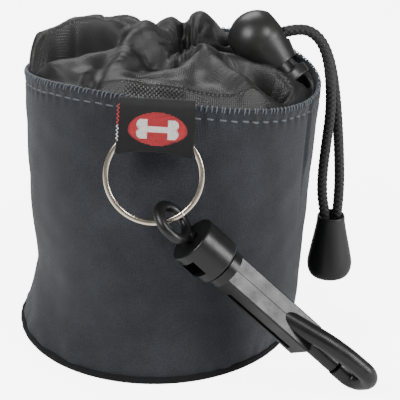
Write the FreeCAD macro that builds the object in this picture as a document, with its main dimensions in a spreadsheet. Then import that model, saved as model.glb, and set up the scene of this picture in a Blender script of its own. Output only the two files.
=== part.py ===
"""Round drawstring treat pouch with a split ring and a plastic bolt snap.

Frame: millimetres, +Z up, origin at the middle of the round base on its resting face.
The front, where the ribbon tab and the snap hang, looks along -Y.
"""
import FreeCAD, Part
import math
import os

V = FreeCAD.Vector

doc = FreeCAD.newDocument("treat_pouch")
sizes = doc.addObject("Spreadsheet::Sheet", "sizes")

DRIVING_SIZES = (
    # wall: four sections of a soft tube that leans towards +X and rises at the front of its rim
    ("base_radius", 34.7), ("base_lean", 0.4), ("waist_radius", 33.9), ("waist_lean", 3.8),
    ("waist_level", 16.0), ("belly_wide", 35.5), ("belly_deep", 32.6), ("belly_lean", 4.2),
    ("belly_level", 45.0), ("rim_wide", 36.6), ("rim_deep", 30.5), ("rim_lean", 5.2),
    ("rim_level", 69.4), ("rim_tilt", 3.1), ("rim_rise", 3.6),
    ("wall_foot", 2.3), ("wall_gauge", 1.0), ("lining_gap", 0.3), ("lining_gauge", 0.6),
    ("lining_foot", 4.2), ("lining_top", 58.0),
    # base
    ("binding_radius", 35.2), ("binding_tall", 2.0), ("panel_radius", 33.2), ("panel_gauge", 0.9),
    ("stiffener_radius", 31.5), ("stiffener_gauge", 1.6), ("liner_disc_gauge", 0.6), ("layer_gap", 0.15),
    # collar
    ("collar_foot", 58.6), ("throat_x", 9.0), ("throat_y", 2.0), ("throat_radius", 5.0),
    ("hem_radius", 7.8), ("hem_level", 69.6),
    # cord and lock
    ("cord_radius", 1.4), ("cord_room", 1.8), ("lock_ball", 7.3), ("lock_mouth", 5.2),
    ("lock_mouth_out", 8.7), ("lock_bore", 4.35), ("lock_bore_deep", 5.2), ("lock_hole_out", 2.6),
    ("piston_radius", 4.28), ("stem_radius", 3.2), ("button_radius", 5.4), ("button_gauge", 2.7),
    ("button_out", 11.1), ("lock_travel", 2.2), ("lock_flat", 6.2),
    # end bell
    ("bell_x", 45.6), ("bell_y", 5.0), ("bell_top", 26.6), ("bell_tall", 17.2),
    ("bell_neck", 3.6), ("bell_belly", 5.8),
    # ring and tab
    ("ring_mean", 11.1), ("ring_band", 1.8), ("ring_coil", 0.7), ("ring_pitch", 0.74),
    ("ring_x", 0.95), ("ring_y", -37.1), ("ring_level", 57.75), ("ring_tilt", 13.5),
    ("tab_wide", 17.8), ("tab_low", 3.4), ("tab_high", 15.4), ("tab_half", 2.2), ("tab_ply", 0.5),
    # snap
    ("snap_place", 70.5), ("snap_dip", 45.9), ("snap_heading", -3.8), ("snap_roll", -133.5),
    ("eye_roll", -76.0), ("eye_drop", 1.0), ("eye_major", 4.5), ("eye_wire", 1.3),
    ("post_radius", 1.65), ("post_bore", 1.75), ("barrel_radius", 6.1), ("box_wide", 7.6),
    ("box_deep", 7.2), ("bolt_radius", 2.0), ("bolt_room", 2.15), ("gate_travel", 8.2),
    ("hook_wire", 2.3),
)

for row, (alias, value) in enumerate(DRIVING_SIZES, start=1):
    sizes.set("A%d" % row, alias)
    sizes.set("B%d" % row, str(value))
    sizes.setAlias("B%d" % row, alias)
doc.recompute()


def size(alias):
    """Value of one driving size."""
    return float(getattr(sizes, alias))


def bind(item, **formulas):
    """Bind properties of an object to formulas over the sheet; 'dot' stands for a dot in a path."""
    for path, formula in formulas.items():
        item.setExpression(path.replace("_dot_", "."), formula)
    return item


def s(formula):
    """Write a formula with bare aliases as one over the sheet."""
    words = []
    for word in formula.split():
        words.append("sizes." + word if word[0].isalpha() else word)
    return " ".join(words)


def cylinder(name, radius, height, base=V(), turn=None):
    """Cylinder primitive; radius and height are formulas over the sheet."""
    item = doc.addObject("Part::Cylinder", name)
    bind(item, Radius=s(radius), Height=s(height))
    item.Placement = FreeCAD.Placement(base, turn or FreeCAD.Rotation())
    return item


def box(name, corner, extent):
    """Box primitive between two corners given by its low corner and its extent."""
    item = doc.addObject("Part::Box", name)
    item.Length, item.Width, item.Height = extent
    item.Placement.Base = V(*corner)
    return item


def cut(name, base, *tools):
    """Base solid less one or more tools."""
    tool = tools[0] if len(tools) == 1 else fuse(name + "_tools", *tools)
    item = doc.addObject("Part::Cut", name)
    item.Base, item.Tool = base, tool
    return item


def fuse(name, *solids):
    """Union of several solids."""
    item = doc.addObject("Part::MultiFuse", name)
    item.Shapes = list(solids)
    return item


def shaped(name, shape):
    """Feature with a shape worked out in code."""
    item = doc.addObject("Part::Feature", name)
    item.Shape = shape
    return item


def ellipse(name, lean, wide, deep, level, at_rim=False):
    """Level ellipse whose centre is moved along +X by lean; at the rim it is tipped with the rim."""
    item = doc.addObject("Part::Ellipse", name)
    bind(item, MajorRadius=s(wide), MinorRadius=s(deep))
    bind(item, Placement_dot_Base_dot_x=s(lean), Placement_dot_Base_dot_z=s(level))
    if at_rim:
        tip = FreeCAD.Rotation(V(0, 1, 0), size("rim_tilt"))
        item.Placement.Rotation = tip.multiply(FreeCAD.Rotation(V(1, 0, 0), -size("rim_rise")))
    return item


def loft(name, sections, ruled=False):
    """Solid loft through closed sections."""
    item = doc.addObject("Part::Loft", name)
    item.Sections = sections
    item.Solid = True
    item.Ruled = ruled
    return item


def wall_loft(name, inset):
    """The pouch's tapering form, drawn in by an inset."""
    less = " - " + inset
    return loft(name, [
        ellipse(name + "_base", "base_lean", "base_radius" + less, "base_radius" + less, "wall_foot"),
        ellipse(name + "_waist", "waist_lean", "waist_radius" + less, "waist_radius" + less, "waist_level"),
        ellipse(name + "_belly", "belly_lean", "belly_wide" + less, "belly_deep" + less, "belly_level"),
        ellipse(name + "_rim", "rim_lean", "rim_wide" + less, "rim_deep" + less, "rim_level", True),
    ])


def rounded_path(points):
    """Straight runs joined by tangent arcs, each arc as large as its two runs allow."""
    points = [V(*point) for point in points]
    edges, radii = [], []
    start = points[0]
    for before, corner, after in zip(points, points[1:], points[2:]):
        back, ahead = before - corner, after - corner
        reach = 0.45 * min(back.Length, ahead.Length)
        half_turn = (math.pi - back.getAngle(ahead)) / 2
        radius = reach / math.tan(half_turn)
        back.normalize()
        ahead.normalize()
        entry, leave = corner + back * reach, corner + ahead * reach
        to_centre = back + ahead
        to_centre.normalize()
        middle = corner + to_centre * (radius / math.cos(half_turn) - radius)
        edges.append(Part.LineSegment(start, entry).toShape())
        edges.append(Part.Arc(entry, middle, leave).toShape())
        radii.append(round(radius, 1))
        start = leave
    edges.append(Part.LineSegment(start, points[-1]).toShape())
    return Part.Wire(edges), radii


def tube(points, radius, name=None):
    """Round tube along a rounded path; prints its radii and its volume test when it is named."""
    path, radii = rounded_path(points)
    first = V(*points[1]) - V(*points[0])
    ring = Part.Wire([Part.makeCircle(radius, V(*points[0]), first)])
    solid = path.makePipeShell([ring], True, False)
    if name:
        expected = math.pi * radius ** 2 * path.Length
        print("%s length %.1f radii %s volume ratio %.4f"
              % (name, path.Length, radii, solid.Volume / expected))
    return solid


def revolved(name, outline):
    """PartDesign body turned about its own Z from half an outline of (radius, height) points."""
    body = doc.addObject("PartDesign::Body", name)
    sketch = body.newObject("Sketcher::SketchObject", name + "_outline")
    plane = [f for f in body.Origin.OriginFeatures if f.Role == "XZ_Plane"][0]
    sketch.AttachmentSupport = [(plane, "")]
    sketch.MapMode = "FlatFace"
    for (r_a, z_a), (r_b, z_b) in zip(outline, outline[1:] + outline[:1]):
        sketch.addGeometry(Part.LineSegment(V(r_a, z_a, 0), V(r_b, z_b, 0)))
    turned = body.newObject("PartDesign::Revolution", name + "_turned")
    turned.Profile = sketch
    turned.ReferenceAxis = (sketch, ["V_Axis"])
    turned.Angle = 360
    body.Tip = turned
    return body


def along(direction, beside):
    """Rotation whose local Z lies along direction and whose local X is nearest to beside."""
    z = V(direction).normalize()
    x = (beside - z * beside.dot(z)).normalize()
    y = z.cross(x)
    return FreeCAD.Rotation(x, y, z, "ZXY")


def coiled(radius, pitch, low, high, section, start=0.0):
    """Wire coiled about Z from low to high; the section is drawn at (radius, 0, 0)."""
    place = FreeCAD.Placement(V(0, 0, low), FreeCAD.Rotation(V(0, 0, 1), start))
    path = Part.makeHelix(pitch, high - low, radius)
    path.Placement = place
    section.Placement = place
    return Part.Wire(path.Edges).makePipeShell([section], True, True)


parts = {}


def keep(node, item, placement=None):
    """Name a finished sub-part after its node."""
    item.Label = node
    if placement is not None:
        item.Placement = placement
    parts[node] = item
    return item


# ---------------------------------------------------------------- pouch: wall, lining and base
def make_wall():
    keep("outer_wall", cut("wall", wall_loft("wall_out", "0"), wall_loft("wall_in", "wall_gauge")))


def make_lining():
    skin = cut("lining_skin", wall_loft("lining_out", "wall_gauge - lining_gap"),
               wall_loft("lining_in", "wall_gauge - lining_gap - lining_gauge"))
    span = cylinder("lining_span", "rim_wide + rim_wide", "lining_top - lining_foot",
                    V(0, 0, size("lining_foot")))
    kept = doc.addObject("Part::Common", "lining")
    kept.Base, kept.Tool = skin, span
    keep("lining_tube", kept)


def make_base():
    panel = cylinder("panel", "panel_radius", "panel_gauge")
    keep("base_panel", panel)
    ring = cylinder("binding_ring", "binding_radius", "binding_tall")
    hole = cylinder("binding_hole", "panel_radius + layer_gap", "binding_tall + binding_tall",
                    V(0, 0, -1))
    band = cut("binding", ring, hole)
    keep("base_binding", band)
    stiffener_level = size("panel_gauge") + size("layer_gap")
    keep("base_stiffener", cylinder("stiffener", "stiffener_radius", "stiffener_gauge",
                                    V(0, 0, stiffener_level)))
    liner_level = stiffener_level + size("stiffener_gauge") + size("layer_gap")
    keep("lining_base", cylinder("liner_disc", "stiffener_radius", "liner_disc_gauge",
                                 V(0, 0, liner_level)))


# ---------------------------------------------------------------- lock axes, shared by cord and collar
LOCK_AT = V(25.8, 4.0, 75.4)
BUTTON_WAY = V(0.62, -0.346, -0.704).normalize()
CORD_WAY = V(0.784, 0.275, 0.556)
LOCK_TURN = along(BUTTON_WAY, CORD_WAY)
LOCK_PLACE = FreeCAD.Placement(LOCK_AT, LOCK_TURN)
CORD_HALF_SPREAD = 1.46


def in_lock(x, y, z):
    """Point given in the lock's own frame: X along the cord, Z out of the button's mouth."""
    return tuple(LOCK_PLACE.multVec(V(x, y, z)))


def lock_strand(side):
    """Where one strand enters and leaves the lock, and how it runs on towards the hem."""
    offset, level = side * CORD_HALF_SPREAD, size("lock_hole_out")
    return in_lock(size("lock_flat"), offset, level), in_lock(-size("lock_flat") - 1.6, offset, level)


FRONT_EXIT, FRONT_BACK = lock_strand(1 if in_lock(0, 1, 0)[1] < LOCK_AT.y else -1)
REAR_EXIT, REAR_BACK = lock_strand(-1 if in_lock(0, 1, 0)[1] < LOCK_AT.y else 1)


def hem_points():
    """Corners of the drawstring's run in the hem round the throat, from the rear strand to the front."""
    reach = size("hem_radius") / math.cos(math.pi / 8)
    points = []
    for step in range(7):
        angle = math.radians(45 + 45 * step)
        points.append((size("throat_x") + reach * math.cos(angle),
                       size("throat_y") + reach * math.sin(angle), size("hem_level")))
    return points


def make_drawstring():
    route = [REAR_EXIT, REAR_BACK] + hem_points() + [FRONT_BACK, FRONT_EXIT]
    keep("drawstring", shaped("cord_in_hem", tube(route, size("cord_radius"), "drawstring")))
    return route


# ---------------------------------------------------------------- collar
def make_collar(route):
    dome = loft("collar_dome", [
        ellipse("collar_a", "rim_lean - 0.8", "rim_wide - 3.3", "rim_deep - 1.9", "collar_foot"),
        ellipse("collar_b", "rim_lean - 0.5", "rim_wide - 3.2", "rim_deep - 2.3", "rim_level + 1.2"),
        ellipse("collar_c", "rim_lean - 2.1", "rim_wide - 9.7", "rim_deep - 8.5", "rim_level + 8.3"),
        ellipse("collar_d", "rim_lean - 2.1", "rim_wide - 18.7", "rim_deep - 16.5", "rim_level + 11.4"),
    ])
    hollow = loft("collar_hollow", [
        ellipse("collar_e", "rim_lean - 0.8", "rim_wide - 4.6", "rim_deep - 3.2", "collar_foot - 0.5"),
        ellipse("collar_f", "rim_lean - 0.8", "rim_wide - 24.7", "rim_deep - 20.5", "rim_level - 5.4"),
    ], ruled=True)
    throat = cylinder("throat", "throat_radius", "rim_level",
                      V(size("throat_x"), size("throat_y"), size("collar_foot") - 1))
    tunnels = [shaped("rear_tunnel", tube(route[:7], size("cord_room"))),
               shaped("front_tunnel", tube(route[4:], size("cord_room")))]
    room = 0.6
    nest = Part.makeSphere(size("lock_ball") + room)
    shaft_room = Part.makeCylinder(size("lock_ball") + room, size("lock_mouth_out"))
    button_room = Part.makeCylinder(size("button_radius") + room,
                                    size("button_out") + size("button_gauge") + room)
    nest = nest.fuse([shaft_room, button_room])
    nest.Placement = LOCK_PLACE
    pocket = shaped("lock_nest", nest)
    keep("collar", cut("collar_cut", dome, hollow, throat, pocket, *tunnels))


# ---------------------------------------------------------------- cord lock
def make_lock():
    ball, mouth, mouth_out = size("lock_ball"), size("lock_mouth"), size("lock_mouth_out")
    bore, deep, hole_out = size("lock_bore"), size("lock_bore_deep"), size("lock_hole_out")
    globe = Part.makeSphere(ball)
    skirt = Part.makeCone(ball * 0.985, mouth, mouth_out - 1.2, V(0, 0, 1.2))
    body = globe.fuse(skirt).removeSplitter()
    bore_cut = Part.makeCylinder(bore, deep + mouth_out + 1, V(0, 0, -deep))
    slot_half, slot_room = CORD_HALF_SPREAD, size("cord_radius") + 0.15
    slot = Part.makeBox(40, 2 * slot_half, 2 * slot_room, V(-20, -slot_half, hole_out - slot_room))
    ends = [Part.makeCylinder(slot_room, 40, V(-20, side * slot_half, hole_out), V(1, 0, 0))
            for side in (-1, 1)]
    slot = slot.fuse(ends)
    flats = [Part.makeBox(6, 30, 30, V(x, -15, -15)) for x in (size("lock_flat"), -size("lock_flat") - 6)]
    flare, flare_deep = 1.0, 2.6
    funnels = [Part.makeCone(slot_room, slot_room + flare, flare_deep,
                             V(way * (size("lock_flat") - flare_deep + 0.3), side * slot_half, hole_out),
                             V(way, 0, 0)) for way in (-1, 1) for side in (-1, 1)]
    body = body.cut([bore_cut, slot] + flats + funnels)
    keep("lock_body", shaped("lock_shell", body), LOCK_PLACE)

    travel, head_low = size("lock_travel"), size("button_out")
    piston_low, piston_high = -1.4, 7.0
    piston = Part.makeCylinder(size("piston_radius"), piston_high - piston_low, V(0, 0, piston_low))
    stem = Part.makeCylinder(size("stem_radius"), head_low - piston_high + 0.5, V(0, 0, piston_high - 0.25))
    head = Part.makeCylinder(size("button_radius"), size("button_gauge"), V(0, 0, head_low))
    head = head.makeFillet(0.6, [edge for edge in head.Edges if edge.isClosed() and edge.Curve.TypeId
                                 == "Part::GeomCircle"])
    low, high = hole_out - slot_room, hole_out + slot_room + travel
    window = Part.makeBox(20, 2 * (slot_half + slot_room), high - low, V(-10, -slot_half - slot_room, low))
    plunger = piston.fuse([stem, head]).removeSplitter().cut(window)
    keep("lock_plunger", shaped("lock_button", plunger), LOCK_PLACE)

    wire = 0.35
    coil_low, coil_high = -deep + wire + 0.05, piston_low - wire - 0.05
    coil_radius = 2.9
    section = Part.Wire([Part.makeCircle(wire, V(coil_radius, 0, 0), V(0, 1, 0))])
    coil = coiled(coil_radius, (coil_high - coil_low) / 3, coil_low, coil_high, section)
    keep("lock_spring", shaped("lock_coil", coil), LOCK_PLACE)


# ---------------------------------------------------------------- hanging cord ends and bell
REAR_TAIL = [REAR_EXIT, (36.5, 6.9, 77.3), (40.4, 7.3, 75.7), (43.0, 7.3, 71.9), (44.8, 7.0, 66.0),
             (46.1, 6.8, 57.0), (47.0, 6.3, 46.5), (47.5, 5.6, 37.5), (47.4, 5.1, 31.2),
             (47.05, 5.0, 26.4), (47.07, 4.9, 21.9)]
FRONT_TAIL = [FRONT_EXIT, (36.4, 3.8, 78.5), (40.2, 3.6, 76.9), (42.7, 3.3, 72.9), (44.0, 3.2, 66.6),
              (44.5, 3.4, 57.0), (43.6, 3.9, 47.0), (42.9, 4.4, 38.0), (43.1, 4.8, 31.6),
              (44.1, 5.0, 26.4), (44.13, 5.1, 21.9)]


def make_tails():
    keep("drawstring_tail_rear", shaped("rear_tail", tube(REAR_TAIL, size("cord_radius"), "rear tail")))
    keep("drawstring_tail_front", shaped("front_tail", tube(FRONT_TAIL, size("cord_radius"), "front tail")))


def make_bell():
    tall, neck, belly = size("bell_tall"), size("bell_neck"), size("bell_belly")
    place = FreeCAD.Placement(V(size("bell_x"), size("bell_y"), size("bell_top") - tall), FreeCAD.Rotation())
    mouth = 2.0
    shell = revolved("bell", [
        (4.35, 0.0), (4.9, 0.3), (5.5, 1.2), (belly, 2.4), (belly, 3.4), (neck, tall - 0.4),
        (neck - 0.3, tall), (3.0, tall), (3.0, tall - 3.4), (4.3, tall - 7.0), (4.3, mouth), (4.35, mouth)])
    keep("cord_bell", shell, place)
    plug = revolved("plug", [(0, 0.2), (4.0, 0.2), (4.2, 0.5), (4.2, 2.4), (0, 2.4)])
    keep("bell_plug", plug, place)
    knot = revolved("knot", [(0, 4.2), (2.2, 4.6), (3.5, 6.4), (3.7, 8.2), (3.2, 10.4), (2.4, 12.3),
                             (0, 12.3)])
    keep("cord_knot", knot, place)


# ---------------------------------------------------------------- split ring and ribbon tab
RING_AT = V(size("ring_x"), size("ring_y"), size("ring_level"))
RING_UP = V(0, math.sin(math.radians(size("ring_tilt"))), math.cos(math.radians(size("ring_tilt"))))
RING_OUT = V(0, -math.cos(math.radians(size("ring_tilt"))), math.sin(math.radians(size("ring_tilt"))))
RING_PLACE = FreeCAD.Placement(RING_AT, FreeCAD.Rotation(V(1, 0, 0), RING_UP, RING_OUT, "ZXY"))


def make_ring():
    mean, band, coil, pitch = size("ring_mean"), size("ring_band"), size("ring_coil"), size("ring_pitch")
    corners = [V(mean + x * band / 2, 0, z * coil / 2) for x, z in ((-1, -1), (1, -1), (1, 1), (-1, 1))]
    section = Part.Wire(Part.makePolygon(corners + corners[:1]).Edges)
    ring = coiled(mean, pitch, -pitch, pitch, section, start=-38)
    keep("split_ring", shaped("key_ring", ring), RING_PLACE)


def make_tab():
    wide, low, high = size("tab_wide"), size("tab_low"), size("tab_high")
    half, ply = size("tab_half"), size("tab_ply")
    seam_depth = 3.0
    outside = box("tab_out", (-wide / 2 + 0.25, low, -half), (wide, high - low, 2 * half))
    inside = box("tab_in", (-wide, low + ply, ply - half), (2 * wide, high - low - ply - seam_depth,
                                                             2 * (half - ply)))
    keep("label_loop", cut("tab", outside, inside), RING_PLACE)


# ---------------------------------------------------------------- bolt snap
def snap_rotation(roll):
    """Local Z runs from the eye to the hook's tip; local X is turned about it by a roll."""
    lie = FreeCAD.Rotation(V(0, 0, 1), -size("snap_heading"))
    dip = FreeCAD.Rotation(V(0, 1, 0), 90 + size("snap_dip"))
    return lie.multiply(dip).multiply(FreeCAD.Rotation(V(0, 0, 1), roll))


place_angle = math.radians(size("snap_place"))
RING_HOLD = RING_PLACE.multVec(V(size("ring_mean") * math.cos(place_angle),
                                 -size("ring_mean") * math.sin(place_angle), 0))
SNAP_WAY = snap_rotation(0).multVec(V(0, 0, 1))
EYE_AT = RING_HOLD + SNAP_WAY * size("eye_drop")
EYE_PLACE = FreeCAD.Placement(EYE_AT, snap_rotation(size("eye_roll")))
SNAP_PLACE = FreeCAD.Placement(EYE_AT, snap_rotation(size("snap_roll")))

BARREL_LOW, BARREL_HIGH, FLANGE, NECK_HIGH, BOX_HIGH = 6.1, 15.2, 1.7, 18.2, 46.6
NOSE_FACE, TIP = 56.4, 62.6
BOLT_LOW, BOLT_HIGH = 35.0, 56.1
KNOB_LOW, KNOB_HIGH = 36.5, 39.7


def make_eye():
    major, wire = size("eye_major"), size("eye_wire")
    ring = Part.makeTorus(major, wire, V(), V(0, 1, 0))
    post = Part.makeCylinder(size("post_radius"), BARREL_LOW + FLANGE - major, V(0, 0, major))
    root = Part.makeCone(2.1, size("post_radius"), 0.9, V(0, 0, major + 0.7))
    head = Part.makeCylinder(3.0, 3.6, V(0, 0, BARREL_LOW + FLANGE + 0.25))
    neck = Part.makeCylinder(size("post_radius"), 1.0, V(0, 0, BARREL_LOW + FLANGE - 0.4))
    eye = ring.fuse([post, root, neck, head]).removeSplitter()
    keep("swivel_eye", shaped("eye", eye), EYE_PLACE)


def make_hook():
    wide, deep, wire = size("box_wide"), size("box_deep"), size("hook_wire")
    barrel = Part.makeCylinder(size("barrel_radius"), BARREL_HIGH - BARREL_LOW, V(0, 0, BARREL_LOW))
    barrel = barrel.makeFillet(0.5, [edge for edge in barrel.Edges if edge.isClosed()])
    groove = Part.makeCylinder(4.5, 1.4, V(0, 0, BARREL_HIGH - 0.4))
    neck = Part.makeCylinder(5.0, NECK_HIGH - BARREL_HIGH - 0.7, V(0, 0, BARREL_HIGH + 0.7))
    case = Part.makeBox(deep, wide, BOX_HIGH - NECK_HIGH + 1, V(-deep / 2, -wide / 2, NECK_HIGH - 1))
    end_edges = [edge for edge in case.Edges if abs(edge.CenterOfMass.z - BOX_HIGH) < 0.01]
    case = case.makeChamfer(0.9, end_edges)
    long_edges = [edge for edge in case.Edges
                  if edge.Length > 20 and abs(edge.tangentAt(edge.FirstParameter).z) > 0.99]
    case = case.makeFillet(0.45, long_edges)
    spine = tube([(1.0, 0, 35.6), (8.1, 0, 50.0), (8.6, 0, TIP), (0.3, 0, TIP + 0.1), (0.2, 0, NOSE_FACE)],
                 wire)
    hook = barrel.fuse([groove, neck, case, spine])
    nest = Part.makeCylinder(4.0, 5.6, V(0, 0, BARREL_LOW + FLANGE))
    shaft = Part.makeCylinder(size("post_bore"), 6, V(0, 0, BARREL_LOW - 2))
    windows = Part.makeBox(5.4, 20, 4.4, V(-2.7, -10, BARREL_LOW + FLANGE + 0.5))
    bore = Part.makeCylinder(size("bolt_room"), BOX_HIGH - 21.8 + 1, V(0, 0, 21.8))
    knob_way = Part.makeBox(10, 2.9, KNOB_HIGH - KNOB_LOW + size("gate_travel") + 0.6,
                            V(-10, -1.45, KNOB_LOW - size("gate_travel") - 0.3))
    side_slots = [Part.makeBox(1.5, 1.1, 21.0, V(-2.2, y, 22.5)) for y in (-wide / 2, wide / 2 - 1.1)]
    parting = Part.makeBox(0.2, 0.16, 17.6, V(deep / 2 - 0.14, -0.08, NECK_HIGH + 0.2))
    hook = hook.cut([nest, shaft, windows, bore, knob_way, parting] + side_slots).removeSplitter()
    keep("hook_body", shaped("hook", hook), SNAP_PLACE)


def make_gate():
    rod = Part.makeCylinder(size("bolt_radius"), BOLT_HIGH - BOLT_LOW, V(0, 0, BOLT_LOW))
    tip = [edge for edge in rod.Edges if edge.isClosed() and abs(edge.CenterOfMass.z - BOLT_HIGH) < 0.01]
    rod = rod.makeChamfer(0.5, tip)
    stalk = Part.makeBox(5.4, 2.5, KNOB_HIGH - KNOB_LOW, V(-5.4, -1.25, KNOB_LOW))
    knob = Part.makeBox(1.8, 4.0, KNOB_HIGH - KNOB_LOW + 0.2, V(-6.4, -2.0, KNOB_LOW - 0.1))
    knob = knob.makeFillet(0.5, knob.Edges)
    keep("gate_bolt", shaped("bolt", rod.fuse([stalk, knob]).removeSplitter()), SNAP_PLACE)

    wire, coil_radius, coil_low = 0.3, 1.5, 22.2
    coil_high = BOLT_LOW - 0.4
    section = Part.Wire([Part.makeCircle(wire, V(coil_radius, 0, 0), V(0, 1, 0))])
    coil = coiled(coil_radius, (coil_high - coil_low) / 8, coil_low, coil_high, section)
    keep("gate_spring", shaped("gate_coil", coil), SNAP_PLACE)


make_wall()
make_lining()
make_base()
make_collar(make_drawstring())
make_lock()
make_tails()
make_bell()
make_ring()
make_tab()
make_eye()
make_hook()
make_gate()
doc.recompute()

for item in doc.Objects:
    if "Invalid" in item.State or "Error" in item.State:
        raise RuntimeError("%s failed: %s" % (item.Name, item.State))
os.makedirs("parts", exist_ok=True)
for node, item in parts.items():
    shape = item.Shape
    if shape.isNull() or not shape.isValid() or shape.Volume <= 0:
        raise RuntimeError("%s has no valid solid" % node)
    print("%-22s solids %d volume %8.1f z %6.2f..%6.2f" % (
        node, len(shape.Solids), shape.Volume, shape.BoundBox.ZMin, shape.BoundBox.ZMax))
    shape.exportStep("parts/%s.step" % node)

TAB_SEAM = RING_PLACE.multVec(V(0, size("tab_high"), 0))
for label, point in (("tab seam", TAB_SEAM), ("ring at", RING_AT), ("ring up", RING_UP),
                     ("ring hold", RING_HOLD), ("eye", EYE_AT), ("snap way", SNAP_WAY),
                     ("ring out", RING_OUT), ("button way", BUTTON_WAY)):
    print("%-11s %.4f %.4f %.4f" % (label, point.x, point.y, point.z))
print("exits", FRONT_EXIT, REAR_EXIT)
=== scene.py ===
"""Looks of a drawstring treat pouch with a split ring and a plastic bolt snap.

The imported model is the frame: metres, +Z up, origin under the middle of the base, front along -Y.
Shapes are worked out in millimetres and become metres when their mesh is made.
"""

import math

import bpy
import numpy as np
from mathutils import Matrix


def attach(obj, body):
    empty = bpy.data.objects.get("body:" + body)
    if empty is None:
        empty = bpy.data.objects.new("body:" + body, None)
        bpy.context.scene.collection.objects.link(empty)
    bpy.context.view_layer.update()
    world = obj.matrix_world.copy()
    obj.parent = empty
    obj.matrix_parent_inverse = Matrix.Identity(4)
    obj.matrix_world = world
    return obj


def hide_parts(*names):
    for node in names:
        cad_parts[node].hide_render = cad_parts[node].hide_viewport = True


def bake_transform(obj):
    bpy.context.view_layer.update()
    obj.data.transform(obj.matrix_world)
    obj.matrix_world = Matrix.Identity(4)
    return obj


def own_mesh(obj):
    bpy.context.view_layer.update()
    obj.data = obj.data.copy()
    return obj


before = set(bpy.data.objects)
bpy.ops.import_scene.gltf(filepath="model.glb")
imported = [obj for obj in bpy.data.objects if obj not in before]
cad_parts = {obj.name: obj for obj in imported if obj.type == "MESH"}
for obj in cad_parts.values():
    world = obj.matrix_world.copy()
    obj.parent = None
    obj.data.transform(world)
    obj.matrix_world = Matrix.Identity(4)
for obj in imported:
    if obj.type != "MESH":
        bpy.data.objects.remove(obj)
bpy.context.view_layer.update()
scene = bpy.context.scene
MM = 0.001


# ---------------------------------------------------------------- camera
# A long lens stands in front of the pouch, above its rim.
# It looks slightly down on the gathered collar and takes in the whole snap.
camera_data = bpy.data.cameras.new("camera")
camera_data.lens = 157.3
camera_data.sensor_width = 36.0
camera_data.clip_start = 0.01
camera = bpy.data.objects.new("camera", camera_data)
camera.location = (0.0116, -0.400, 0.23094)
camera.rotation_euler = (math.radians(63.694), 0.0, 0.0)
scene.collection.objects.link(camera)
scene.camera = camera


# ---------------------------------------------------------------- hanging cord ends
# Two strands of soft black braid leave the lock side by side, arch over and hang into the bell.
# Eight flat yarns, four each way round, cross over and under one another.
REAR_ROUTE = (
    (0.032275, 0.006114, 0.076370), (0.0365, 0.0069, 0.0773), (0.0404, 0.0073, 0.0757),
    (0.0430, 0.0073, 0.0719), (0.0448, 0.0070, 0.0660), (0.0461, 0.0068, 0.0570),
    (0.0470, 0.0063, 0.0465), (0.0475, 0.0056, 0.0375), (0.0474, 0.0051, 0.0312),
    (0.04705, 0.0050, 0.0264), (0.04707, 0.0049, 0.0219))
FRONT_ROUTE = (
    (0.032278, 0.003495, 0.077661), (0.0364, 0.0038, 0.0785), (0.0402, 0.0036, 0.0769),
    (0.0427, 0.0033, 0.0729), (0.0440, 0.0032, 0.0666), (0.0445, 0.0034, 0.0570),
    (0.0436, 0.0039, 0.0470), (0.0429, 0.0044, 0.0380), (0.0431, 0.0048, 0.0316),
    (0.0441, 0.0050, 0.0264), (0.04413, 0.0051, 0.0219))


def spline_points(name, route):
    """Points along the smooth NURBS curve that has the route as its control points, in metres."""
    curve = bpy.data.curves.new(name, "CURVE")
    curve.dimensions = "3D"
    curve.resolution_u = 24
    spline = curve.splines.new("NURBS")
    spline.points.add(len(route) - 1)
    for point, place in zip(spline.points, route):
        point.co = (*place, 1.0)
    spline.order_u = 3
    spline.use_endpoint_u = True
    holder = bpy.data.objects.new(name, curve)
    scene.collection.objects.link(holder)
    bpy.context.view_layer.update()
    line = bpy.data.meshes.new_from_object(holder)
    points = np.empty(len(line.vertices) * 3)
    line.vertices.foreach_get("co", points)
    bpy.data.objects.remove(holder)
    bpy.data.meshes.remove(line)
    return points.reshape(-1, 3)


def evenly(points, spacing):
    """The same line with its points a fixed spacing apart, as nearly as its length allows."""
    reach = np.concatenate([[0], np.cumsum(np.linalg.norm(np.diff(points, axis=0), axis=1))])
    count = max(int(round(reach[-1] / spacing)), 2)
    at = np.linspace(0, reach[-1], count + 1)
    return np.stack([np.interp(at, reach, points[:, axis]) for axis in range(3)], axis=1)


def unit(vectors):
    """Vectors of length one along the last axis."""
    return vectors / np.maximum(np.linalg.norm(vectors, axis=-1, keepdims=True), 1e-12)


def carried_frames(points):
    """Tangent, side and rise at each point of a line, turned along it without twist."""
    tangents = unit(np.gradient(points, axis=0))
    sides = np.empty_like(tangents)
    sides[0] = unit(np.cross(tangents[0], (0.31, 0.17, 0.93)))
    for index in range(1, len(points)):
        carried = sides[index - 1] - tangents[index] * (sides[index - 1] @ tangents[index])
        sides[index] = unit(carried)
    return tangents, sides, np.cross(tangents, sides)


def tube_rings(lines, half_wide, half_deep, out, sides=8, taper=0.0):
    """Rings of points round many lines at once, shape (lines, points, sides, 3).

    Each section is an ellipse, half_wide across and half_deep along out. With a taper, the radius
    follows sqrt(1 - q^2) over that share of each end, so a short thread has round ends.
    """
    tangents = unit(np.gradient(lines, axis=1))
    across = unit(np.cross(tangents, out))
    rise = np.cross(across, tangents)
    place = np.linspace(-1, 1, lines.shape[1])
    end = np.clip((np.abs(place) - 1 + taper) / max(taper, 1e-6), 0, 0.985)
    full = np.sqrt(1 - end ** 2) if taper else np.ones_like(place)
    turn = np.linspace(0, 2 * np.pi, sides, endpoint=False)
    ring = (across[:, :, None] * (half_wide * np.cos(turn))[None, None, :, None]
            + rise[:, :, None] * (half_deep * np.sin(turn))[None, None, :, None])
    return lines[:, :, None] + ring * full[None, :, None, None]


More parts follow.
